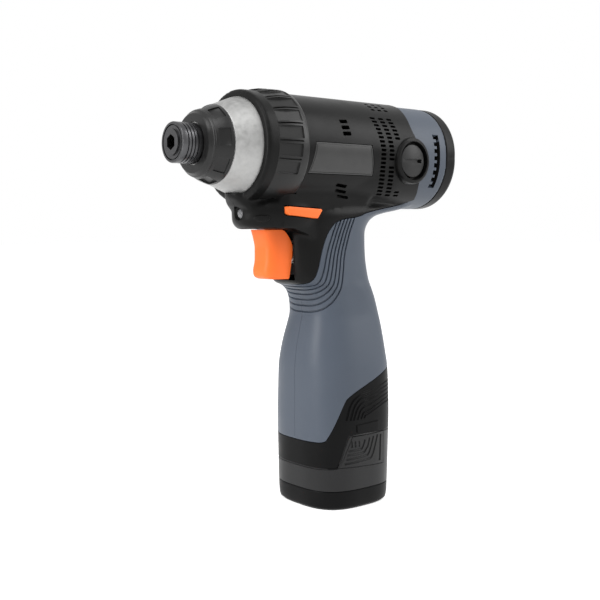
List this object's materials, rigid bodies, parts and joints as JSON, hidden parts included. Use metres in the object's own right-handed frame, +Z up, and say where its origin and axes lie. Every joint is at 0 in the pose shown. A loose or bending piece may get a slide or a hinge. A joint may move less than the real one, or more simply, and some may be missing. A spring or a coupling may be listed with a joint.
{
  "type": "cordless impact driver",
  "caption": "Cordless impact driver with a pistol grip, ribbed nose collar, sprung hex bit socket, rotary hammer and gears, trigger, direction selector and a slide-out stick battery.",
  "frame": {"origin": "middle of the battery foot, on the surface the tool stands on", "axes": "+X along the barrel to the nose, +Y to the tool's left side, +Z up"},
  "size_m": [0.1644, 0.0568, 0.2094],
  "materials": {
    "slate_shell": "fine moulded texture",
    "black_shell": "fine moulded texture",
    "battery_shell": "satin",
    "black_rubber": "matte",
    "bare_plate": "satin, bare",
    "silver_casting": "fine cast",
    "steel": "ground",
    "dark_steel": "blackened",
    "copper": "enamelled",
    "brass": "plain",
    "orange": "satin",
    "lens": "clear",
    "board": "solder mask",
    "cell_wrap": "film wrapped",
    "magnet": "sintered",
    "black_plastic": "plain"
  },
  "bodies": {
    "housing": {"left_body": "slate_shell", "right_body": "slate_shell", "left_barrel": "black_shell", "right_barrel": "black_shell", "rear_cap": "black_shell", "front_collar": "black_shell", "name_plate": "bare_plate", "housing_screws": "dark_steel", "hammer_case": "silver_casting", "nose_bumper": "black_rubber", "anvil_bush": "brass", "anvil_seal": "black_rubber", "ring_gear": "dark_steel", "gearbox_plate": "steel", "carrier_bush": "brass", "motor_bearings": "steel", "motor_can": "steel", "motor_magnets": "magnet", "brush_tubes": "brass", "brushes": "black_plastic", "brush_springs": "steel", "brush_caps": "black_plastic", "switch_body": "black_plastic", "trigger_spring": "steel", "led_lens": "lens", "led_board": "board", "terminal_block": "black_plastic"},
    "spindle": {"spindle": "steel", "planet_pins": "steel", "hammer_spring": "steel"},
    "spring_washer": {"spring_washer": "steel"},
    "hammer": {"hammer": "dark_steel", "cam_balls": "steel"},
    "anvil": {"anvil": "steel", "lock_balls": "steel", "sleeve_spring": "steel", "sleeve_washer": "dark_steel", "sleeve_ring": "dark_steel"},
    "bit_sleeve": {"bit_sleeve": "dark_steel"},
    "armature": {"motor_shaft": "steel", "motor_pinion": "steel", "armature_core": "dark_steel", "armature_winding": "copper", "commutator": "copper", "motor_fan": "black_plastic"},
    "planet_1": {"planet_gear_1": "steel"},
    "planet_2": {"planet_gear_2": "steel"},
    "planet_3": {"planet_gear_3": "steel"},
    "trigger": {"trigger": "orange"},
    "direction_selector": {"direction_selector": "orange"},
    "battery": {"battery_case": "battery_shell", "battery_base": "battery_shell", "battery_cells": "cell_wrap", "battery_cap": "black_plastic", "battery_contacts": "brass", "battery_screws": "dark_steel", "release_spring_left": "steel", "release_spring_right": "steel"},
    "release_button_left": {"release_button_left": "battery_shell"},
    "release_button_right": {"release_button_right": "battery_shell"}
  },
  "joints": [
    {"name": "spindle_spin", "type": "hinge", "parent": "housing", "child": "spindle", "pos_m": [0.03, 0, 0.181], "axis": [1, 0, 0], "continuous": true},
    {"name": "hammer_slide", "type": "slide", "parent": "spindle", "child": "spring_washer", "axis": [-1, 0, 0], "range_m": [0, 0.0065], "stiffness_N_per_m": 6000, "springref_m": -0.004, "deforming": ["hammer_spring"]},
    {"name": "hammer_turn", "type": "hinge", "parent": "spring_washer", "child": "hammer", "pos_m": [0.05, 0, 0.181], "axis": [1, 0, 0], "range_deg": [0, 45]},
    {"name": "anvil_spin", "type": "hinge", "parent": "housing", "child": "anvil", "pos_m": [0.03, 0, 0.181], "axis": [1, 0, 0], "continuous": true},
    {"name": "sleeve_slide", "type": "slide", "parent": "anvil", "child": "bit_sleeve", "axis": [1, 0, 0], "range_m": [0, 0.003], "stiffness_N_per_m": 1500, "springref_m": -0.001, "deforming": ["sleeve_spring"]},
    {"name": "armature_spin", "type": "hinge", "parent": "housing", "child": "armature", "pos_m": [0.03, 0, 0.181], "axis": [1, 0, 0], "continuous": true},
    {"name": "planet_1_spin", "type": "hinge", "parent": "spindle", "child": "planet_1", "pos_m": [0.03, 0, 0.169], "axis": [1, 0, 0], "continuous": true},
    {"name": "planet_2_spin", "type": "hinge", "parent": "spindle", "child": "planet_2", "pos_m": [0.03, 0.01039, 0.187], "axis": [1, 0, 0], "continuous": true},
    {"name": "planet_3_spin", "type": "hinge", "parent": "spindle", "child": "planet_3", "pos_m": [0.03, -0.01039, 0.187], "axis": [1, 0, 0], "continuous": true},
    {"name": "trigger_slide", "type": "slide", "parent": "housing", "child": "trigger", "axis": [-1, 0, 0], "range_m": [0, 0.007], "stiffness_N_per_m": 700, "springref_m": -0.004, "deforming": ["trigger_spring"]},
    {"name": "selector_slide", "type": "slide", "parent": "housing", "child": "direction_selector", "axis": [0, 1, 0], "range_m": [-0.0025, 0.0025]},
    {"name": "battery_slide", "type": "slide", "parent": "housing", "child": "battery", "axis": [0, 0, -1], "range_m": [0, 0.06]},
    {"name": "release_left", "type": "slide", "parent": "battery", "child": "release_button_left", "axis": [0, -1, 0], "range_m": [0, 0.0018], "stiffness_N_per_m": 1500, "springref_m": -0.001, "deforming": ["release_spring_left"]},
    {"name": "release_right", "type": "slide", "parent": "battery", "child": "release_button_right", "axis": [0, 1, 0], "range_m": [0, 0.0018], "stiffness_N_per_m": 1500, "springref_m": -0.001, "deforming": ["release_spring_right"]}
  ],
  "couplings": [
    {"joint": "anvil_spin", "follows": "spindle_spin", "ratio": 1},
    {"joint": "armature_spin", "follows": "spindle_spin", "ratio": 5},
    {"joint": "planet_1_spin", "follows": "spindle_spin", "ratio": -2.6667},
    {"joint": "planet_2_spin", "follows": "spindle_spin", "ratio": -2.6667},
    {"joint": "planet_3_spin", "follows": "spindle_spin", "ratio": -2.6667},
    {"joint": "hammer_turn", "follows": "hammer_slide", "rad_per_m": 120.83}
  ]
}
